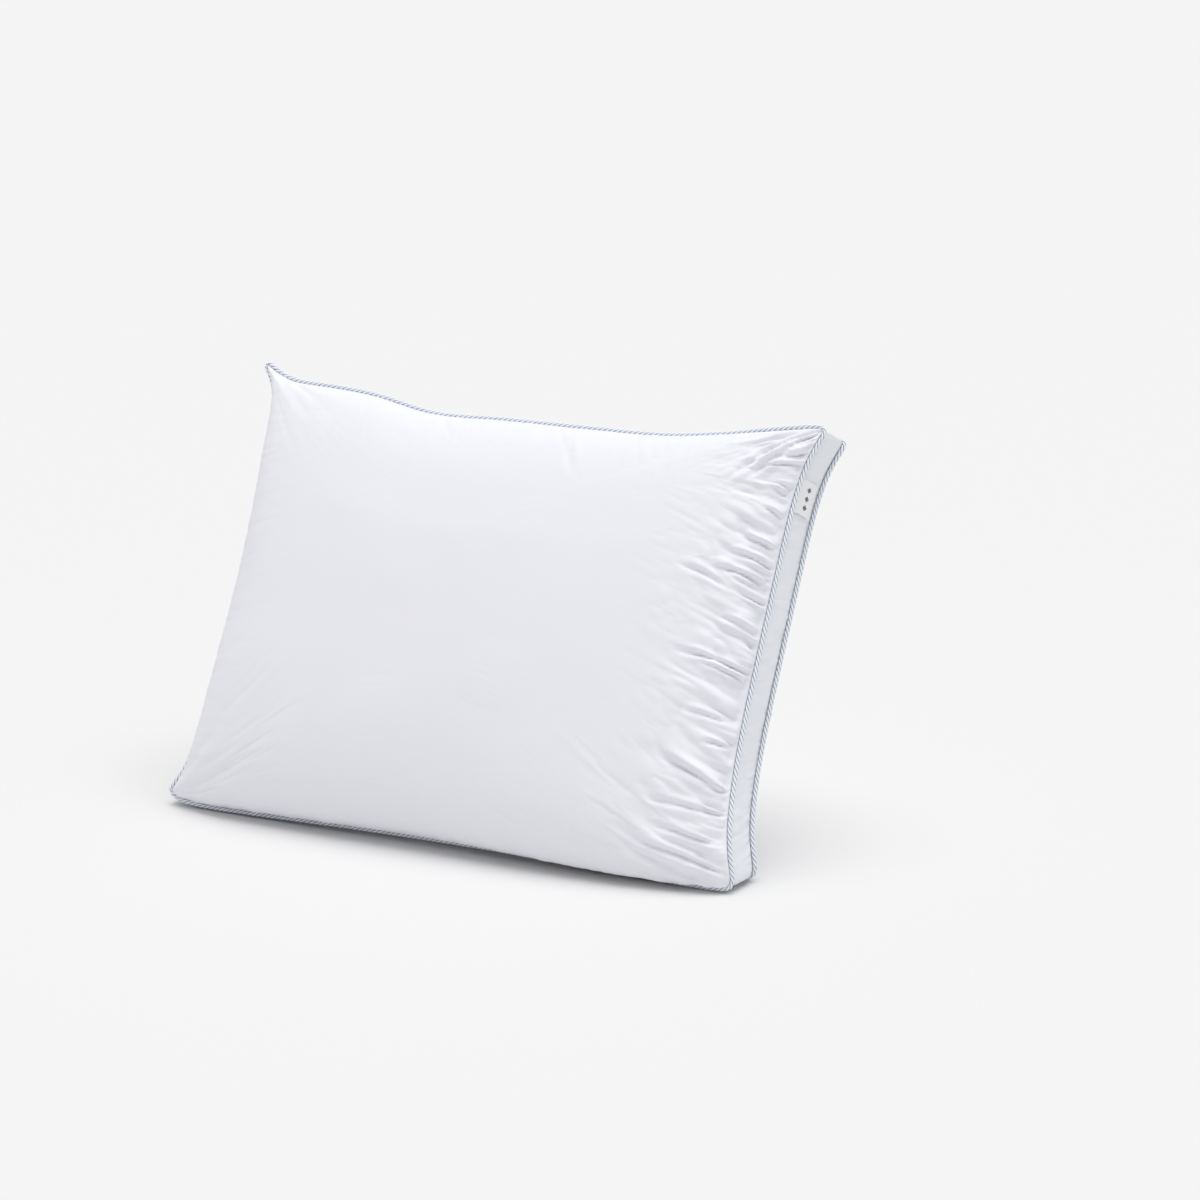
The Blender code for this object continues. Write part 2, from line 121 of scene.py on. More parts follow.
def sheet_point(a, b):
    """(x, h) inside the seam outline, for arrays a and b from -1 to 1 across and up the pillow."""
    a, b = np.broadcast_arrays(np.asarray(a, float), np.asarray(b, float))
    trim_x, trim_h = CORNER_TRIM / (WIDTH / 2), CORNER_TRIM / (HEIGHT / 2)
    a, b = (
        a * (1 - trim_x * np.minimum(np.abs(b), 1) ** SIDE_ROUNDING),
        b * (1 - trim_h * np.minimum(np.abs(a), 1) ** TOP_ROUNDING),
    )
    across, up = (a + 1) / 2, (b + 1) / 2
    lift = np.where(a < 0, LEFT_CORNER_LIFT, RIGHT_CORNER_LIFT)
    bottom = SEAM_HEIGHT + lift * np.abs(a) ** CORNER_LIFT_POWER + MIDDLE_LIFT * (1 - a * a) ** 2
    top = HEIGHT - through(TOP_DIP, across)
    left = -WIDTH / 2 + LEFT_PULL * (1 - np.abs(b) ** LEFT_PULL_POWER) + LEFT_WAIST * (1 - b * b) ** 2
    right_power = np.where(b > 0, RIGHT_PULL_POWER, RIGHT_FLOOR_POWER)
    right = WIDTH / 2 - RIGHT_PULL * (1 - np.abs(b) ** right_power)
    return left + (right - left) * across, bottom + (top - bottom) * up


def crown(a, b, side):
    """Share of the full loft that a panel reaches."""
    if side == BACK:
        below = BACK_FLOOR_STEEPNESS
    else:
        at_left, at_right = FRONT_FLOOR_STEEPNESS
        beyond = (a - FLOOR_CORD_SEEN_TO) / (1 - FLOOR_CORD_SEEN_TO)
        below = at_left + (at_right - at_left) * eased(beyond)
    blend = (b < 0) * (1.0 if side == BACK else eased(-4 * b))
    steep = EDGE_STEEPNESS + (below - EDGE_STEEPNESS) * blend
    if side == FRONT:
        steep += (FRONT_TOP_STEEPNESS - EDGE_STEEPNESS) * eased(2 * b)
    beside = np.where(a > 0, RIGHT_STEEPNESS, EDGE_STEEPNESS)
    across = np.maximum(1 - np.abs(a) ** CROWN_POWER, 0) ** (1 / beside)
    up = np.maximum(1 - np.abs(b) ** CROWN_POWER, 0) ** (1 / steep)
    height = (b + 1) / 2 * HEIGHT
    slump = BACK_SLUMP * (1 - a * a) * np.exp(-((height / SLUMP_HEIGHT) ** 2)) if side == BACK else 0
    return across * up * (1 + slump)


def panel_surface(a, b, side):
    """The outer face of a panel before it is wrinkled."""
    loft, sag = (FRONT_LOFT, FRONT_SAG) if side == FRONT else (BACK_LOFT, BACK_SAG)
    stand_out = loft * crown(a, b, side)
    x, h = sheet_point(a, b)
    points = place(x, h, side * (HALF_DEPTH + TAPE_FACE + stand_out))
    pressed = sag * eased(stand_out / (0.6 * loft)) * (1 - eased(h / (0.6 * HEIGHT)))
    points[..., 2] = np.maximum(points[..., 2] - pressed, FLOOR_SKIN)
    return points


def stations(cells, crowding=END_CROWDING):
    """Positions from -1 to 1, evenly spaced but for the ends, where they crowd together."""
    at = np.linspace(-1, 1, cells + 1)
    from_end = 1 - np.abs(at)
    crowded = from_end**3 * (1 + crowding**2) / (from_end**2 + crowding**2)
    return np.sign(at) * (1 - crowded)


def outward_of(x, h, closed):
    """Unit vectors out of the outline in (x, h). The front shows its points anticlockwise."""
    if closed:
        dx, dh = np.roll(x, -1) - np.roll(x, 1), np.roll(h, -1) - np.roll(h, 1)
    else:
        dx, dh = np.gradient(x), np.gradient(h)
    length = np.hypot(dx, dh)
    return dh / length, -dx / length


class Outline:
    """A run of the seam outline, with points offset from it."""

    def __init__(self, a, b, closed=False):
        self.x, self.h = sheet_point(a, b)
        self.out_x, self.out_h = outward_of(self.x, self.h, closed)

    def stretch(self, first, last):
        """Part of a closed outline, which shares its end points with the parts beside it."""
        part = Outline.__new__(Outline)
        index = np.arange(first, last + 1) % len(self.x)
        part.x, part.h, part.out_x, part.out_h = (
            row[index] for row in (self.x, self.h, self.out_x, self.out_h)
        )
        return part

    def beside(self, offset, d):
        return place(self.x + self.out_x * offset, self.h + self.out_h * offset, d)


def rim_of(across, up):
    """(a, b) round the edge of a grid, anticlockwise from the bottom left as the front shows it."""
    one = np.ones
    a = [across[:-1], one(len(up) - 1) * across[-1], across[:0:-1], one(len(up) - 1) * across[0]]
    b = [one(len(across) - 1) * up[0], up[:-1], one(len(across) - 1) * up[-1], up[:0:-1]]
    return np.concatenate(a), np.concatenate(b)


# ---------------------------------------------------------------- meshes
def mesh_object(name, points, faces, smooth=True):
    mesh = bpy.data.meshes.new(name)
    points = np.asarray(points, np.float32).reshape(-1, 3)
    faces = np.asarray(faces, np.int32)
    corners = faces.shape[1]
    mesh.vertices.add(len(points))
    mesh.vertices.foreach_set("co", points.ravel())
    mesh.loops.add(faces.size)
    mesh.loops.foreach_set("vertex_index", faces.ravel())
    mesh.polygons.add(len(faces))
    mesh.polygons.foreach_set("loop_start", np.arange(len(faces), dtype=np.int32) * corners)
    mesh.update(calc_edges=True)
    mesh.validate()
    mesh.polygons.foreach_set("use_smooth", np.full(len(mesh.polygons), smooth))
    made = bpy.data.objects.new(name, mesh)
    bpy.context.scene.collection.objects.link(made)
    return made


def grid_faces(rows, columns, flip=False, wrap=False):
    index = np.arange(rows * columns).reshape(rows, columns)
    if wrap:
        index = np.vstack([index, index[:1]])
    quads = np.stack([index[:-1, :-1], index[:-1, 1:], index[1:, 1:], index[1:, :-1]], -1).reshape(-1, 4)
    return quads[:, ::-1] if flip else quads


def normals_of(grid):
    """Unit normals of a (rows, columns, 3) grid."""
    normal = np.cross(np.gradient(grid, axis=1), np.gradient(grid, axis=0))
    return normal / np.maximum(np.linalg.norm(normal, axis=-1, keepdims=True), 1e-12)


def softened(field, passes):
    """A grid field after repeated averaging with its neighbours, with its edges held."""
    field = field.copy()
    for _ in range(passes):
        inner = field[1:-1, 1:-1]
        near = field[:-2, 1:-1] + field[2:, 1:-1] + field[1:-1, :-2] + field[1:-1, 2:]
        field[1:-1, 1:-1] = inner * 0.5 + near * 0.125
    return field


def finer(field):
    """A grid field on the grid with FINER times as many cells, by smooth curves through its points."""
    for axis in (0, 1):
        rows = np.moveaxis(field, axis, 0)
        last = len(rows) - 1
        at = np.arange(last * FINER + 1) / FINER
        first = np.minimum(at.astype(int), last - 1)
        share = (at - first).reshape(-1, *[1] * (rows.ndim - 1))
        before, low, high, after = (rows[np.clip(first + k, 0, last)] for k in (-1, 0, 1, 2))
        cubic = 3 * (low - high) + after - before
        square = 2 * before - 5 * low + 4 * high - after
        rows = low + 0.5 * share * (high - before + share * (square + share * cubic))
        field = np.moveaxis(rows, 0, axis)
    return field


def read_points(obj, count):
    evaluated = obj.evaluated_get(bpy.context.evaluated_depsgraph_get())
    points = np.empty(count * 3, np.float32)
    evaluated.data.vertices.foreach_get("co", points)
    return points.reshape(-1, 3).astype(float)


def worked(name, grid, pinned, spare, pressure, faces):
    """The grid after the cloth solver has blown it up and let its spare cloth, a share of it, buckle."""
    trial = mesh_object(name + "_trial", grid, faces)
    group = trial.vertex_groups.new(name="sewn")
    group.add([int(i) for i in np.flatnonzero(pinned.ravel())], 1.0, "REPLACE")
    fuller = trial.vertex_groups.new(name="spare")
    most = spare.max()
    for i, weight in enumerate((spare / most).ravel()):
        fuller.add([i], float(weight), "REPLACE")
    cloth = trial.modifiers.new("cloth", "CLOTH")
    how = cloth.settings
    how.quality = 4
    how.mass = 0.30
    how.air_damping = 2.0
    how.tension_stiffness = how.compression_stiffness = 30
    how.tension_damping = how.compression_damping = 8
    how.shear_stiffness, how.shear_damping = 12, 6
    how.bending_stiffness, how.bending_damping = 0.08, 0.3
    how.vertex_group_mass = "sewn"
    how.vertex_group_shrink = "spare"
    how.shrink_min, how.shrink_max = 0.0, -most
    how.use_pressure = True
    how.uniform_pressure_force = pressure
    how.effector_weights.gravity = 0
    cloth.collision_settings.use_collision = False
    cloth.collision_settings.use_self_collision = False
    cloth.point_cache.frame_start, cloth.point_cache.frame_end = 1, SIMULATION_FRAMES
    scene = bpy.context.scene
    for step in range(1, SIMULATION_FRAMES + 1):
        scene.frame_set(step)
    points = read_points(trial, grid.size // 3).reshape(grid.shape)
    mesh = trial.data
    bpy.data.objects.remove(trial)
    bpy.data.meshes.remove(mesh)
    scene.frame_set(1)
    return points


# ---------------------------------------------------------------- folds
def lattice_noise(u, v, seed):
    """Smooth noise from -1 to 1 with one random value at each whole (u, v)."""
    table = np.random.default_rng(seed).uniform(-1, 1, (64, 64))
    i, j = np.floor(u).astype(int), np.floor(v).astype(int)
    s, t = eased(u - i), eased(v - j)
    low = table[i % 64, j % 64] * (1 - s) + table[(i + 1) % 64, j % 64] * s
    high = table[i % 64, (j + 1) % 64] * (1 - s) + table[(i + 1) % 64, (j + 1) % 64] * s
    return low * (1 - t) + high * t


# each layer: spacing along the seam, length across it, how far from the seam it reaches, and height
BROAD_PUCKERS = [(0.0150, 0.050, 0.055, 0.0062)]
FINE_PUCKERS = [
    (0.0058, 0.022, 0.024, 0.0024),
    (0.0088, 0.034, 0.045, 0.0034),
    (0.0115, 0.018, 0.065, 0.0022),
]
GUSSET_PUCKERS = [(0.0045, 0.012, 0.010, 0.0018), (0.0080, 0.023, 0.022, 0.0026)]


def puckers(layers, along, away, seed, slant=0.0, strength=1.0):
    """Cloth gathered into a seam: rounded ridges with sharp valleys, which merge further from it."""
    start = along - np.tan(slant) * away
    start = start + 0.003 * lattice_noise(along / 0.03, away / 0.04, seed)
    height = np.zeros_like(along + away)
    for k, (spacing, length, reach, rise) in enumerate(layers):
        wave = lattice_noise(start / spacing, away / length + 0.5, seed + 1 + k)
        patchy = 0.75 + 0.50 * lattice_noise(start / (7 * spacing), away / length, seed + 11 + k)
        ridges = np.sqrt(wave**2 + 0.002) - 0.36
        height += rise * patchy * ridges * np.exp(-((away / reach) ** 1.6))
    return height * strength


def crease(along, away, start, end, width, depth):
    """One long fold from a point on or near the seam to a point further in, each (along, away)."""
    run = np.array(end) - np.array(start)
    length = np.hypot(*run)
    share = ((along - start[0]) * run[0] + (away - start[1]) * run[1]) / length**2
    bow = 0.06 * length * np.sin(math.pi * np.clip(share, 0, 1))
    across = ((along - start[0]) * run[1] - (away - start[1]) * run[0]) / length - bow
    spread = width * (0.7 + 0.6 * np.clip(share, 0, 1))
    valley = -np.exp(-np.abs(across / (0.55 * spread)) ** 1.4)
    ridge = 0.75 * np.exp(-(((across - 1.5 * spread) / spread) ** 2))
    ridge += 0.35 * np.exp(-(((across + 1.7 * spread) / spread) ** 2))
    ends = eased((share + 0.12) / 0.3) * (1 - eased((share - 0.55) / 0.5))
    return depth * (valley + ridge) * ends


# (height up the seam, distance from it) where each fold starts and ends, its width and its depth
RIGHT_CREASES = [
    ((0.474, 0.006), (0.413, 0.044), 0.0034, 0.0034),
    ((0.470, 0.003), (0.431, 0.032), 0.0026, 0.0024),
    ((0.474, 0.016), (0.405, 0.066), 0.0036, 0.0024),
    ((0.409, 0.002), (0.416, 0.028), 0.0026, 0.0024),
    ((0.385, 0.002), (0.393, 0.020), 0.0026, 0.0022),
    ((0.350, 0.002), (0.357, 0.032), 0.0032, 0.0036),
    ((0.331, 0.002), (0.340, 0.040), 0.0030, 0.0026),
    ((0.313, 0.003), (0.319, 0.056), 0.0036, 0.0042),
    ((0.300, 0.034), (0.315, 0.092), 0.0038, 0.0026),
    ((0.262, 0.002), (0.269, 0.036), 0.0028, 0.0022),
    ((0.217, 0.003), (0.225, 0.074), 0.0034, 0.0038),
    ((0.208, 0.003), (0.219, 0.048), 0.0030, 0.0030),
    ((0.164, 0.010), (0.168, 0.052), 0.0030, 0.0026),
    ((0.141, 0.003), (0.144, 0.030), 0.0028, 0.0028),
    ((0.099, 0.002), (0.127, 0.074), 0.0038, 0.0044),
    ((0.078, 0.003), (0.087, 0.086), 0.0034, 0.0030),
    ((0.050, 0.005), (0.067, 0.080), 0.0032, 0.0028),
    ((0.025, 0.006), (0.052, 0.098), 0.0036, 0.0036),
]
RIGHT_CREASE_GAIN = 1.25
# (distance along the top from the middle, distance down from it)
TOP_CREASES = [
    ((0.052, 0.010), (0.096, 0.072), 0.0060, 0.0026),
    ((0.064, 0.006), (0.086, 0.058), 0.0048, 0.0020),
    ((0.143, 0.006), (0.162, 0.052), 0.0050, 0.0018),
    ((0.172, 0.004), (0.186, 0.030), 0.0040, 0.0014),
    ((-0.095, 0.004), (-0.074, 0.030), 0.0050, 0.0018),
    ((-0.296, 0.004), (-0.252, 0.024), 0.0038, 0.0024),
]


def right_slant(h):
    """Folds run down towards the right seam, but fan out of the top corner the other way."""
    return 0.32 - 1.10 * eased((h - 0.385) / 0.10)


class Sheet:
    """A panel's smooth surface on a grid, with how far each of its points is from the seams."""

    def __init__(self, side, finer_by):
        across = stations(CELLS_ACROSS * finer_by)
        up = stations(CELLS_UP * finer_by)
        a, b = np.meshgrid(across, up)
        self.side = side
        self.rim = rim_of(across, up)
        self.x, self.h = sheet_point(a, b)
        self.stand_out = (FRONT_LOFT if side == FRONT else BACK_LOFT) * crown(a, b, side)
        self.smooth = panel_surface(a, b, side)
        self.out = normals_of(self.smooth) * -side
        self.from_left, self.from_right = self.x - self.x[:, :1], self.x[:, -1:] - self.x
        self.from_bottom, self.from_top = self.h - self.h[:1], self.h[-1:] - self.h
        self.from_edge = np.minimum(
            np.minimum(self.from_left, self.from_right), np.minimum(self.from_bottom, self.from_top)
        )

    def faces(self):
        return grid_faces(*self.x.shape, flip=self.side == BACK)

    def gathered(self, layers, seed, right, left, top, bottom):
        """Puckers along all four seams, each with its own strength."""
        slant = right_slant(self.h) if self.side == FRONT else 0.1
        height = puckers(layers, self.h, self.from_right, seed + 1, slant, right)
        height += puckers(layers, self.h, self.from_left, seed + 31, 0.2, left)
        height += puckers(layers, self.x, self.from_top, seed + 61, 0.15, top)
        height += puckers(layers, self.x, self.from_bottom, seed + 91, -0.1, bottom)
        return height


def broad_folds(sheet):
    """The folds that the cloth solver starts from, as a height over the smooth surface."""
    if sheet.side == BACK:
        return sheet.gathered(BROAD_PUCKERS, 200, 0.9, 0.9, 0.5, 0.4)
    height = sheet.gathered(BROAD_PUCKERS, 100, 1.0, 0.12, 0.28, 0.25)
    for fold in RIGHT_CREASES:
        height += RIGHT_CREASE_GAIN * crease(sheet.h, sheet.from_right, *fold)
    for fold in TOP_CREASES:
        height += crease(sheet.x, sheet.from_top, *fold)
    return height


def against_cord(sheet):
    """The cloth beside the right seam, which swells out until it lies against the cord."""
    rises = eased(sheet.stand_out / 0.002) * (1 - eased((sheet.stand_out - 0.003) / 0.008))
    return CORD_HUG * rises * (1 - eased(sheet.from_right / 0.02))


def calmed(sheet, moved):
    """The front panel's movement, made quieter under the middle of its top seam."""
    quiet = eased((0.14 - sheet.from_top) / 0.05) * eased((sheet.from_right - 0.05) / 0.05)
    return moved * (1 - 0.65 * quiet)[..., None]


def fine_folds(sheet):
    """The small crisp puckers, which are finer than the solver's grid."""
    if sheet.side == BACK:
        return sheet.gathered(FINE_PUCKERS, 500, 1.5, 1.5, 0.6, 0.4)
    return sheet.gathered(FINE_PUCKERS, 400, 2.3, 0.15, 0.25, 0.25)


LUMP_WAVES, LUMP_LENGTHS = 14, (0.09, 0.24)


def gentle_lumps(x, h, seed, size):
    """Slow unevenness of the filling."""
    rng = np.random.default_rng(seed)
    height = np.zeros_like(x)
    for _ in range(LUMP_WAVES):
        length = rng.uniform(*LUMP_LENGTHS)
        turn, phase = rng.uniform(0, math.pi), rng.uniform(0, 2 * math.pi)
        height += np.sin((x * math.cos(turn) + h * math.sin(turn)) * 2 * math.pi / length + phase)
    return height * size / LUMP_WAVES**0.5


def spare_cloth(sheet):
    """Share by which a panel's cloth is longer than the seam it is gathered into."""

    def near(distance, reach):
        return np.exp(-((distance / reach) ** 2))

    beside = near(sheet.from_right, 0.05) + near(sheet.from_left, 0.05)
    if sheet.side == BACK:
        return 0.010 + 0.045 * beside + 0.02 * near(sheet.from_top, 0.04)
    return (
        0.010
        + 0.050 * near(sheet.from_right, 0.060) * (1 - 0.8 * eased((sheet.h - 0.38) / 0.06))
        + 0.002 * near(sheet.from_left, 0.030)
        + 0.006 * near(sheet.from_top, 0.030)
        + 0.012 * near(sheet.from_bottom, 0.025)
    )


# ---------------------------------------------------------------- cloth pieces
SLOW_PASSES, SLOW_SHARE = 80, 0.35  # the solver's slow swelling is cut to this share of itself
GUSSET_MOST_MOVE = 0.002
CORD_HUG = 0.0012


def panel(name, side, material):
    """A cloth panel: the solver works its broad folds, and the fine ones are laid over them."""
    coarse = Sheet(side, 1)
    height = broad_folds(coarse) * eased(coarse.from_edge / 0.004)
    height += gentle_lumps(coarse.x, coarse.h, 7 if side == FRONT else 8, 0.0012) * eased(
        coarse.from_edge / 0.05
    )
    start = coarse.smooth + coarse.out * height[..., None]
    pinned = coarse.from_edge < 1e-9
    moved = worked(name, start, pinned, spare_cloth(coarse), 5.0, coarse.faces()) - coarse.smooth
    moved -= softened(moved, SLOW_PASSES) * (1 - SLOW_SHARE)
    moved[pinned] = 0
    if side == FRONT:
        moved = calmed(coarse, moved)
    fine = Sheet(side, FINER)
    height = fine_folds(fine) * eased(fine.from_edge / 0.0015) + against_cord(fine)
    points = (fine.smooth + finer(moved) + fine.out * height[..., None]).reshape(-1, 3)
    seam = Outline(*fine.rim, closed=True)
    points[rim_order(*fine.x.shape)] = seam.beside(0, side * (HALF_DEPTH + TAPE_FACE))
    points[:, 2] = np.maximum(points[:, 2], FLOOR_SKIN)
    made = mesh_object(name + "_cloth", points, fine.faces())
    thicken(made, CLOTH)
    return finish_piece(made, name, "pillow", material)


def rim_order(rows, columns):
    index = np.arange(rows * columns).reshape(rows, columns)
    return np.concatenate([index[0, :-1], index[:-1, -1], index[-1, :0:-1], index[:0:-1, 0]])


def thicken(obj, thickness):
    solid = obj.modifiers.new("cloth thickness", "SOLIDIFY")
    solid.thickness = thickness
    solid.offset = -1
    solid.use_even_offset = False
    apply_modifiers(obj)


def apply_modifiers(obj):
    bpy.context.view_layer.update()
    graph = bpy.context.evaluated_depsgraph_get()
    mesh = bpy.data.meshes.new_from_object(obj.evaluated_get(graph))
    obj.modifiers.clear()
    old = obj.data
    obj.data = mesh
    bpy.data.meshes.remove(old)


def finish_piece(obj, node, body, material):
    """Give a piece its material and its body, and hide the CAD node that it stands for."""
    obj.data.materials.clear()
    obj.data.materials.append(material)
    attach(obj, body)
    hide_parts(node)
    return obj


def gusset(name, outline, seed, material):
    """One strip of the gusset, drawn between the seams, with fine puckers along both."""
    share = 0.5 - 0.5 * np.cos(math.pi * np.linspace(0.08, 0.92, GUSSET_CELLS + 1))[None, :]
    share = (share - share.min()) / (share.max() - share.min())
    half = HALF_DEPTH - TAPE_FACE
    bottom = name == "gusset_bottom"
    swell = np.full(len(outline.x), GUSSET_CROWN)
    if bottom:
        from_corner = 1 - eased(np.abs(outline.x) / (WIDTH / 2) * 6 - 5)
        swell = swell + (outline.h - FLOOR_SKIN - GUSSET_CROWN) * from_corner
    lift = swell[:, None] * eased(np.minimum(share, 1 - share) / GUSSET_RISE)
    step = np.hypot(np.diff(outline.x), np.diff(outline.h))
    along = np.concatenate([[0], np.cumsum(step)])[:, None] + 0 * share
    away = share * 2 * half + 0 * along
    beyond = 2 * half - away
    height = puckers(GUSSET_PUCKERS, along, away, seed, 0.2)
    height += puckers(GUSSET_PUCKERS, along, beyond, seed + 40, -0.2)
    height += gentle_lumps(along, away, seed + 1, 0.0010) * np.sin(math.pi * share)
    height *= eased(np.minimum(away, beyond) / 0.003)
    height *= eased(np.minimum(along, along[-1, 0] - along) / 0.01)
    if bottom:
        height *= 0.25
    x = outline.x[:, None] + outline.out_x[:, None] * (lift + height)
    h = outline.h[:, None] + outline.out_h[:, None] * (lift + height)
    grid = place(x, h, half * (2 * share - 1))
    grid[..., 2] = np.maximum(grid[..., 2], FLOOR_SKIN)
    pinned = np.zeros(along.shape, bool)
    pinned[:, [0, -1]] = pinned[[0, -1], :] = True
    faces = grid_faces(*along.shape)
    moved = worked(name, grid, pinned, np.full(along.shape, 0.02), 2.0, faces) - grid
    final = grid + np.clip(moved, -GUSSET_MOST_MOVE, GUSSET_MOST_MOVE)
    final[..., 2] = np.maximum(final[..., 2], FLOOR_SKIN)
    made = mesh_object(name + "_cloth", final, faces)
    thicken(made, CLOTH)
    return finish_piece(made, name, "pillow", material)


def seam_path(side, offset):
    """The closed line of a cord round a seam, with the two directions across it."""
    outline = Outline(*rim_of(stations(500), stations(360)), closed=True)
    d = side * HALF_DEPTH
    line = outline.beside(offset, d)
    out = outline.beside(offset + 0.001, d) - line
    deep = outline.beside(offset, d + 0.001) - line
    return line, out / np.linalg.norm(out, axis=1)[:, None], deep / np.linalg.norm(deep, axis=1)[:, None]


def resampled(rows, distance, at):
    closed = np.vstack([rows, rows[:1]])
    return np.stack([np.interp(at, distance, closed[:, k]) for k in range(3)], -1)


def rounded(rows, passes=14):
    """A closed row of points after repeated averaging, which turns it round corners more gently."""
    for _ in range(passes):
        rows = 0.5 * rows + 0.25 * (np.roll(rows, 1, 0) + np.roll(rows, -1, 0))
    return rows


ROPE_LAY = 0.0183  # one whole turn of a ply round the rope
ROPE_TWIST = -1  # an S twist
ROPE_PLIES = 3  # white plies, with a thin blue ply in each groove between them
WHITE_RING, WHITE_PLY = 0.45, 0.55  # centre and radius of a ply, as shares of the rope's radius
BLUE_RING, BLUE_PLY = 0.58, 0.22
STEPS_A_TURN = 18
WHITE_FACES, BLUE_FACES = 8, 4


def ply_reach(turn, ring, radius):
    """How far a ray from the rope's centre stays inside a ply that lies `turn` away."""
    inside = radius**2 - (ring * np.sin(turn)) ** 2
    return np.where(inside > 0, ring * np.cos(turn) + np.sqrt(np.maximum(inside, 0)), 0)


def rope_section():
    """Angles and radii round the rope's lobed outline, and whether each face that follows is blue."""
    period = 2 * math.pi / ROPE_PLIES
    turn = np.linspace(0, period / 2, 2000)
    blue_wins = ply_reach(period / 2 - turn, BLUE_RING, BLUE_PLY) > ply_reach(turn, WHITE_RING, WHITE_PLY)
    groove = turn[np.argmax(blue_wins)]
    white = np.linspace(-groove, groove, WHITE_FACES + 1)[:-1]
    blue = np.linspace(groove, period - groove, BLUE_FACES + 1)[:-1]
    radii = [ply_reach(white, WHITE_RING, WHITE_PLY), ply_reach(period / 2 - blue, BLUE_RING, BLUE_PLY)]
    angles = np.concatenate([white, blue])
    is_blue = np.repeat([0, 1], [WHITE_FACES, BLUE_FACES])
    around = np.concatenate([angles + k * period for k in range(ROPE_PLIES)])
    return around, np.tile(np.concatenate(radii), ROPE_PLIES), np.tile(is_blue, ROPE_PLIES)


def rope(name, side, white, blue):
    """Piping: a closed rope of white plies with blue ones in their grooves, laid in an S twist."""
    line, out, deep = seam_path(side, GAP + CORD_DIAMETER / 2)
    step = np.linalg.norm(np.roll(line, -1, 0) - line, axis=1)
    distance = np.concatenate([[0], np.cumsum(step)])
    turns = round(distance[-1] / ROPE_LAY)
    count = turns * STEPS_A_TURN
    at = np.arange(count) * distance[-1] / count
    line, out, deep = (rounded(resampled(rows, distance, at))[:, None] for rows in (line, out, deep))
    around, radii, is_blue = rope_section()
    twist = ROPE_TWIST * 2 * math.pi * np.arange(count) / STEPS_A_TURN
    angle = (twist[:, None] + around[None, :])[..., None]
    points = line + (out * np.cos(angle) + deep * np.sin(angle)) * radii[None, :, None] * CORD_DIAMETER / 2
    sides = len(around)
    index = np.arange(count * sides).reshape(count, sides)
    after = np.roll(index, -1, 0)
    faces = np.stack([index, np.roll(index, -1, 1), np.roll(after, -1, 1), after], -1).reshape(-1, 4)
    made = mesh_object(name + "_rope", points, faces)
    finish_piece(made, name, "pillow", white)
    made.data.materials.append(blue)
    made.data.polygons.foreach_set("material_index", np.tile(is_blue, count).astype(np.int32))
    return made


# ---------------------------------------------------------------- label
LABEL_SET_BACK = 0.001  # so that the lifted label stays clear of its stitches
LABEL_CELLS = 40
LABEL_LIFT, LABEL_RIPPLE, RIPPLE_TURNS = 0.0006, 0.0004, 7  # height over the gusset, and its waviness
DIAMOND_MIDDLES = (0.24, 0.50, 0.76)  # shares of the label's length
DIAMOND_HALF_LENGTH, DIAMOND_HALF_WIDTH = 0.085, 0.15  # shares of the label's length and width
DIAMOND_EDGE_LIFT, DIAMOND_MIDDLE_LIFT = 0.00015, 0.0003
STITCHES, ROWS_A_STITCH, STITCH_GAP_ROWS = 15, 7, 1
STITCH_SIDES, STITCH_LIFT, STITCH_RISE, STITCH_RADIUS = 6, 0.0003, 0.00035, 0.00025
STITCH_TAPER = 0.25  # how far from its end, in radians of a half wave, a stitch starts


def label_outline(cells):
    bottom, top = (float(sheet_point(1.0, b)[1]) for b in (-1.0, 1.0))
    high = 1 - 2 * LABEL_TOP / (top - bottom)
    low = high - 2 * LABEL_LENGTH / (top - bottom)
    b = np.linspace(low, high, cells + 1)
    return Outline(np.ones_like(b), b)


def over_gusset(outline, d, lift):
    """Points over the right gusset, from an outline, a row of depths and a height over the cloth."""
    half = HALF_DEPTH - TAPE_FACE
    share = (d / half + 1) / 2
    rise = GUSSET_CROWN * eased(np.minimum(share, 1 - share) / GUSSET_RISE) + lift
    x = outline.x[:, None] + outline.out_x[:, None] * rise
    h = outline.h[:, None] + outline.out_h[:, None] * rise
    return place(x, h, d + 0 * x)


def label(material, motif_material):
    outline = label_outline(LABEL_CELLS)
    start = LABEL_START + LABEL_SET_BACK
    d = np.linspace(start, LABEL_START + LABEL_WIDTH, LABEL_CELLS + 1)[None, :]
    wave = np.sin(np.linspace(0, RIPPLE_TURNS, LABEL_CELLS + 1))[:, None]
    ripple = LABEL_RIPPLE * wave * eased((d - LABEL_START) / LABEL_WIDTH)
    top = over_gusset(outline, d, GAP + LABEL_LIFT + LABEL_THICKNESS + ripple)
    made = mesh_object("side_label_weave", top, grid_faces(*top.shape[:2]))
    thicken(made, LABEL_THICKNESS)
    finish_piece(made, "side_label", "label", material)
    diamonds(top, motif_material)


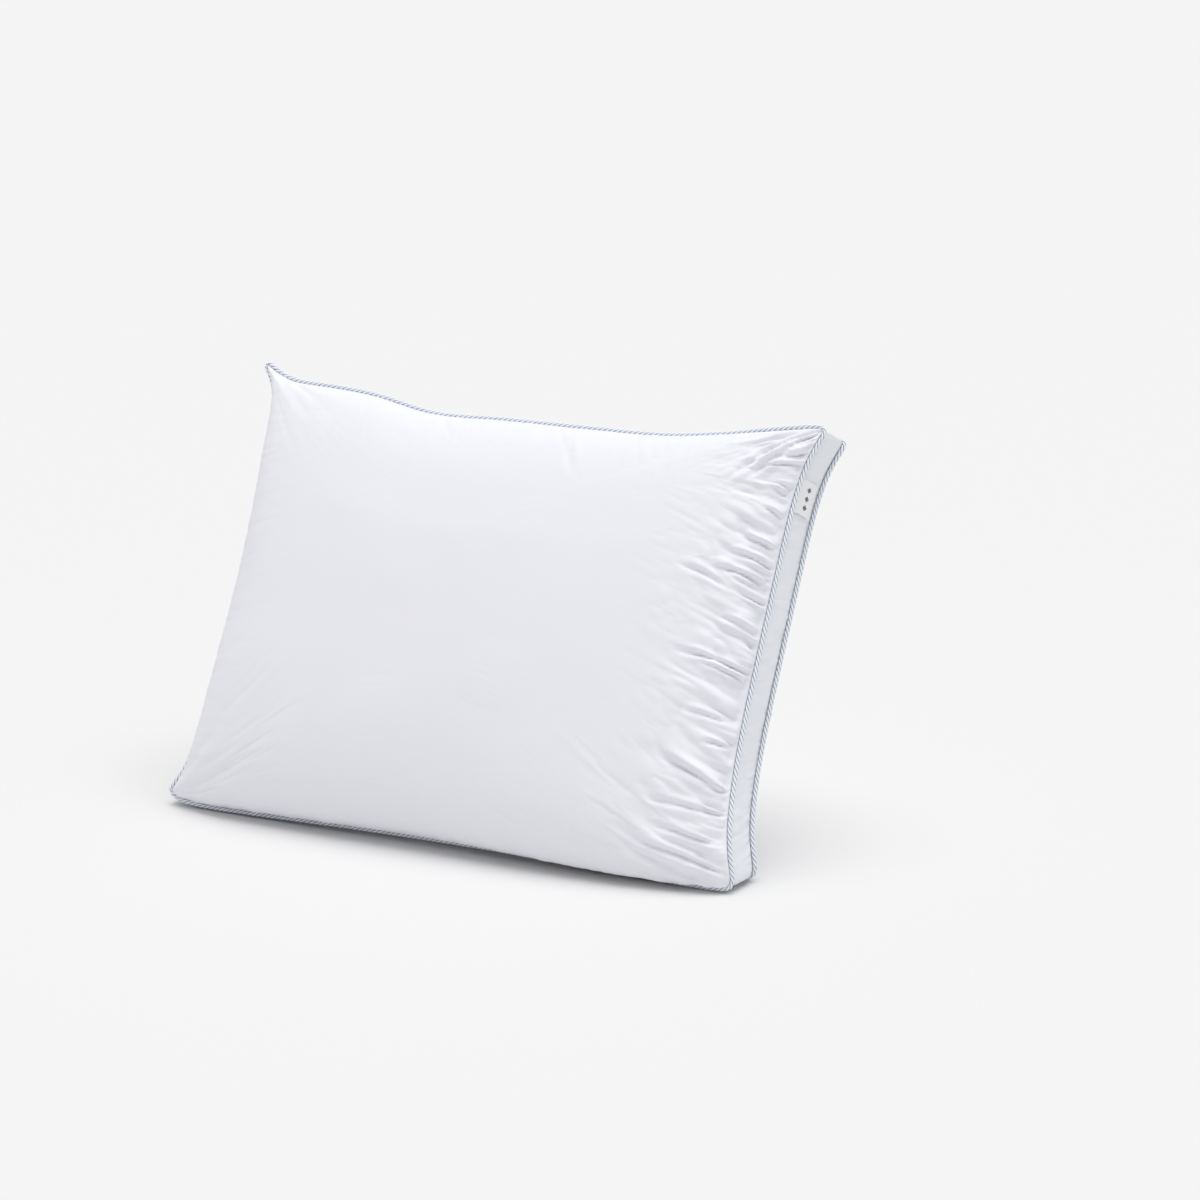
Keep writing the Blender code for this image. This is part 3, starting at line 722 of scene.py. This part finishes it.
def diamonds(top, material):
    """Three small woven diamonds in a row, standing just proud of the label."""
    points, faces = [], []
    normal = normals_of(top)
    for middle in DIAMOND_MIDDLES:
        start = len(points)
        for turn in np.arange(4) * math.pi / 2:
            v = middle + DIAMOND_HALF_LENGTH * math.cos(turn)
            u = 0.5 + DIAMOND_HALF_WIDTH * math.sin(turn)
            points.append(grid_at(top, v, u) + grid_at(normal, v, u) * DIAMOND_EDGE_LIFT)
        points.append(grid_at(top, middle, 0.5) + grid_at(normal, middle, 0.5) * DIAMOND_MIDDLE_LIFT)
        faces += [(start + (k + 1) % 4, start + k, start + 4) for k in range(4)]
        faces += [(start + 1, start + 2, start + 3), (start, start + 1, start + 3)]
    made = mesh_object("label_motif", points, faces, smooth=False)
    made.data.materials.append(material)
    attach(made, "label")


def grid_at(grid, v, u):
    """The value of a grid at shares v down its rows and u along its columns."""
    rows, columns = grid.shape[:2]
    r, c = v * (rows - 1), u * (columns - 1)
    i, j = min(int(r), rows - 2), min(int(c), columns - 2)
    s, t = r - i, c - j
    low = grid[i, j] * (1 - t) + grid[i, j + 1] * t
    high = grid[i + 1, j] * (1 - t) + grid[i + 1, j + 1] * t
    return low * (1 - s) + high * s


def label_stitches(material):
    """A row of small stitches that hold the label's edge down."""
    pitch = ROWS_A_STITCH + STITCH_GAP_ROWS
    outline = label_outline(STITCHES * pitch)
    d = np.array([[LABEL_STITCH_DEPTH]])
    line = over_gusset(outline, d, GAP + STITCH_LIFT)[:, 0]
    out = over_gusset(outline, d, GAP + STITCH_LIFT + 0.001)[:, 0] - line
    out /= np.linalg.norm(out, axis=1)[:, None]
    arch = np.sin(np.linspace(0, math.pi, ROWS_A_STITCH))
    size = STITCH_RADIUS * np.sin(np.linspace(STITCH_TAPER, math.pi - STITCH_TAPER, ROWS_A_STITCH)) ** 0.5
    turns = np.arange(STITCH_SIDES) * 2 * math.pi / STITCH_SIDES
    points, faces = [], []
    for stitch in range(STITCHES):
        rows = np.arange(stitch * pitch, stitch * pitch + ROWS_A_STITCH)
        centre = line[rows] + out[rows] * (STITCH_RISE * arch)[:, None]
        along = np.gradient(centre, axis=0)
        along /= np.linalg.norm(along, axis=1)[:, None]
        across = np.cross(along, out[rows])
        start = len(points)
        for c, o, s, r in zip(centre, out[rows], across, size):
            points += [c + (o * math.cos(turn) + s * math.sin(turn)) * r for turn in turns]
        for row in range(ROWS_A_STITCH - 1):
            ring = start + row * STITCH_SIDES
            for k in range(STITCH_SIDES):
                first, second = ring + k, ring + (k + 1) % STITCH_SIDES
                faces.append((first, second, second + STITCH_SIDES, first + STITCH_SIDES))
        near = [start + k for k in reversed(range(STITCH_SIDES))]
        far = [start + (ROWS_A_STITCH - 1) * STITCH_SIDES + k for k in range(STITCH_SIDES)]
        for end in (near, far):
            faces += [(end[0], end[1], end[2], end[3]), (end[0], end[3], end[4], end[5])]
    made = mesh_object("label_stitches", points, faces)
    finish_piece(made, "label_stitch", "pillow", material)


FILL_DRAWN_IN = 0.011


def filling(material):
    """The fibre filling, drawn in a little from its CAD solid so that no fold of cloth meets it."""
    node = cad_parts["fibre_fill"]
    made = node.copy()
    made.data = node.data.copy()
    made.name = "fibre_filling"
    made.parent = None
    made.hide_render = made.hide_viewport = False
    for key in list(made.keys()):
        del made[key]
    bpy.context.scene.collection.objects.link(made)
    weld = made.modifiers.new("weld", "WELD")
    weld.merge_threshold = 0.0001
    push = made.modifiers.new("draw in", "DISPLACE")
    push.mid_level, push.strength = 0.0, -FILL_DRAWN_IN
    apply_modifiers(made)
    made.data.polygons.foreach_set("use_smooth", np.ones(len(made.data.polygons), bool))
    return finish_piece(made, "fibre_fill", "pillow", material)


# ---------------------------------------------------------------- materials
def new_material(name, colour, roughness, sheen=0.0):
    made = bpy.data.materials.new(name)
    made.use_nodes = True
    shader = made.node_tree.nodes["Principled BSDF"]
    shader.inputs["Base Color"].default_value = (*colour, 1)
    shader.inputs["Roughness"].default_value = roughness
    shader.inputs["Sheen Weight"].default_value = sheen
    shader.inputs["Sheen Roughness"].default_value = 0.6
    shader.inputs["Specular IOR Level"].default_value = 0.25
    return made, made.node_tree, shader


def tint(tree, shader, factor, dark, light):
    mix = tree.nodes.new("ShaderNodeMix")
    mix.data_type = "RGBA"
    tree.links.new(factor, mix.inputs["Factor"])
    mix.inputs["A"].default_value = (*dark, 1)
    mix.inputs["B"].default_value = (*light, 1)
    tree.links.new(mix.outputs["Result"], shader.inputs["Base Color"])


def noise(tree, scale, detail=2.0, stretch=(1, 1, 1)):
    coordinates = tree.nodes.new("ShaderNodeTexCoord")
    mapping = tree.nodes.new("ShaderNodeMapping")
    mapping.inputs["Scale"].default_value = stretch
    texture = tree.nodes.new("ShaderNodeTexNoise")
    texture.inputs["Scale"].default_value = scale
    texture.inputs["Detail"].default_value = detail
    tree.links.new(coordinates.outputs["Object"], mapping.inputs["Vector"])
    tree.links.new(mapping.outputs["Vector"], texture.inputs["Vector"])
    return texture.outputs["Fac"]


def threads(tree, direction, spacing):
    """Parallel threads as a wave across one direction of the object."""
    coordinates = tree.nodes.new("ShaderNodeTexCoord")
    wave = tree.nodes.new("ShaderNodeTexWave")
    wave.bands_direction = direction
    wave.inputs["Scale"].default_value = math.pi / 10 / spacing
    wave.inputs["Distortion"].default_value = 0.6
    wave.inputs["Detail"].default_value = 1.0
    tree.links.new(coordinates.outputs["Object"], wave.inputs["Vector"])
    return wave.outputs["Fac"]


def add(tree, first, second, operation="ADD"):
    node = tree.nodes.new("ShaderNodeMath")
    node.operation = operation
    tree.links.new(first, node.inputs[0])
    if isinstance(second, float):
        node.inputs[1].default_value = second
    else:
        tree.links.new(second, node.inputs[1])
    return node.outputs[0]


def bump(tree, shader, height, strength, distance):
    node = tree.nodes.new("ShaderNodeBump")
    node.inputs["Strength"].default_value = strength
    node.inputs["Distance"].default_value = distance
    tree.links.new(height, node.inputs["Height"])
    tree.links.new(node.outputs["Normal"], shader.inputs["Normal"])


def cotton(name, light, dark):
    """Percale: a very fine plain weave, with a faint slub and a slow change of tone."""
    made, tree, shader = new_material(name, light, 0.82, 0.12)
    tint(tree, shader, noise(tree, 9.0, 3.0), dark, light)
    weave = add(tree, threads(tree, "X", 0.0011), threads(tree, "Z", 0.0011))
    slub = noise(tree, 140.0, 3.0, (1, 1, 0.25))
    bump(tree, shader, add(tree, weave, slub), 0.12, 0.0003)
    return made


def yarn(name, light, dark):
    """Matt yarn with fine fibres along it."""
    made, tree, shader = new_material(name, light, 0.75, 0.2)
    fibres = noise(tree, 2400.0, 2.0, (1, 1, 0.4))
    tint(tree, shader, fibres, dark, light)
    bump(tree, shader, fibres, 0.5, 0.0002)
    return made


def plain_weave(name, light, dark, spacing):
    made, tree, shader = new_material(name, light, 0.6)
    weave = add(tree, threads(tree, "Y", spacing), threads(tree, "Z", spacing), "MULTIPLY")
    tint(tree, shader, weave, dark, light)
    bump(tree, shader, weave, 0.4, 0.0003)
    return made


def fluff(name, light, dark):
    made, tree, shader = new_material(name, light, 0.95)
    fibres = noise(tree, 60.0, 6.0)
    tint(tree, shader, fibres, dark, light)
    bump(tree, shader, fibres, 0.8, 0.004)
    return made


PANEL_COTTON = cotton("panel percale", (0.892, 0.896, 0.950), (0.872, 0.876, 0.934))
# The gusset is the panels' own percale made a little darker: painted shade for its sideways faces.
SHADED_GUSSET_COTTON = cotton("gusset percale painted shade", (0.865, 0.885, 0.925), (0.845, 0.865, 0.91))
WHITE_YARN = yarn("white yarn", (0.92, 0.94, 0.97), (0.83, 0.86, 0.91))
BLUE_YARN = yarn("blue yarn", (0.20, 0.30, 0.52), (0.12, 0.20, 0.38))
TAPE_CLOTH = plain_weave("tape weave", (0.85, 0.86, 0.88), (0.72, 0.73, 0.76), 0.0007)
THREAD = yarn("sewing thread", (0.88, 0.89, 0.91), (0.76, 0.77, 0.80))
LABEL_CLOTH = plain_weave("label weave", (0.975, 0.98, 0.99), (0.93, 0.935, 0.95), 0.0005)
MOTIF_YARN = yarn("motif yarn", (0.17, 0.18, 0.21), (0.10, 0.11, 0.13))
FIBRE = fluff("loose fibre", (0.88, 0.88, 0.88), (0.70, 0.70, 0.71))


# ---------------------------------------------------------------- studio
FLOOR_REACH, AMBIENT = 60, 0.55
# name, strength, softness in degrees, tilt from straight down, heading that it comes from
LAMPS = [("overhead softbox", 1.88, 50, 6, 105)]


def studio():
    ends = ((-1, -1), (1, -1), (1, 1), (-1, 1))
    corners = [(x * FLOOR_REACH, y * FLOOR_REACH, 0) for x, y in ends]
    floor = mesh_object("studio_floor", corners, [(0, 1, 2, 3)])
    made, _, _ = new_material("studio floor", (0.80, 0.80, 0.80), 0.9)
    floor.data.materials.append(made)
    world = bpy.data.worlds.new("studio")
    world.use_nodes = True
    world.node_tree.nodes["Background"].inputs["Color"].default_value = (1.0, 1.0, 1.0, 1)
    world.node_tree.nodes["Background"].inputs["Strength"].default_value = AMBIENT
    bpy.context.scene.world = world
    for name, strength, softness, tilt, heading in LAMPS:
        lamp = bpy.data.lights.new(name, "SUN")
        lamp.energy = strength
        lamp.angle = math.radians(softness)
        holder = bpy.data.objects.new(name, lamp)
        holder.rotation_euler = (math.radians(tilt), 0, math.radians(heading))
        bpy.context.scene.collection.objects.link(holder)


def camera():
    """The photograph's viewing angle and framing."""
    azimuth, elevation, distance = math.radians(29.51), math.radians(14.09), 6.536
    aim = np.array([0.177, 0.0, 0.2873])
    back = np.array(
        [
            math.sin(azimuth) * math.cos(elevation),
            -math.cos(azimuth) * math.cos(elevation),
            math.sin(elevation),
        ]
    )
    lens = bpy.data.cameras.new("photograph")
    lens.lens, lens.sensor_width = 188.94, 36
    lens.clip_end = 300
    holder = bpy.data.objects.new("photograph", lens)
    holder.location = aim + back * distance
    holder.rotation_euler = (math.pi / 2 - elevation, 0, azimuth)
    bpy.context.scene.collection.objects.link(holder)
    bpy.context.scene.camera = holder


def main():
    camera()
    studio()
    bpy.context.scene.view_settings.view_transform = "Standard"
    front = panel("front_panel", FRONT, PANEL_COTTON)
    back = panel("back_panel", BACK, PANEL_COTTON)
    cells_across, cells_up = CELLS_ACROSS * FINER, CELLS_UP * FINER
    seam = Outline(*rim_of(stations(cells_across), stations(cells_up)), closed=True)
    corner = 0
    sides = (("bottom", cells_across), ("right", cells_up), ("top", cells_across), ("left", cells_up))
    for where, cells in sides:
        strip = seam.stretch(corner, corner + cells)
        gusset("gusset_" + where, strip, 300 + corner, SHADED_GUSSET_COTTON)
        corner += cells
    rope("front_piping", FRONT, WHITE_YARN, BLUE_YARN)
    rope("back_piping", BACK, WHITE_YARN, BLUE_YARN)
    label(LABEL_CLOTH, MOTIF_YARN)
    label_stitches(THREAD)
    fill = filling(FIBRE)
    for node in ("front_piping_tape", "back_piping_tape"):
        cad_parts[node].data.materials.clear()
        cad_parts[node].data.materials.append(TAPE_CLOTH)
    for node in ("front_seam_thread", "back_seam_thread"):
        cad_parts[node].data.materials.clear()
        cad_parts[node].data.materials.append(THREAD)


main()
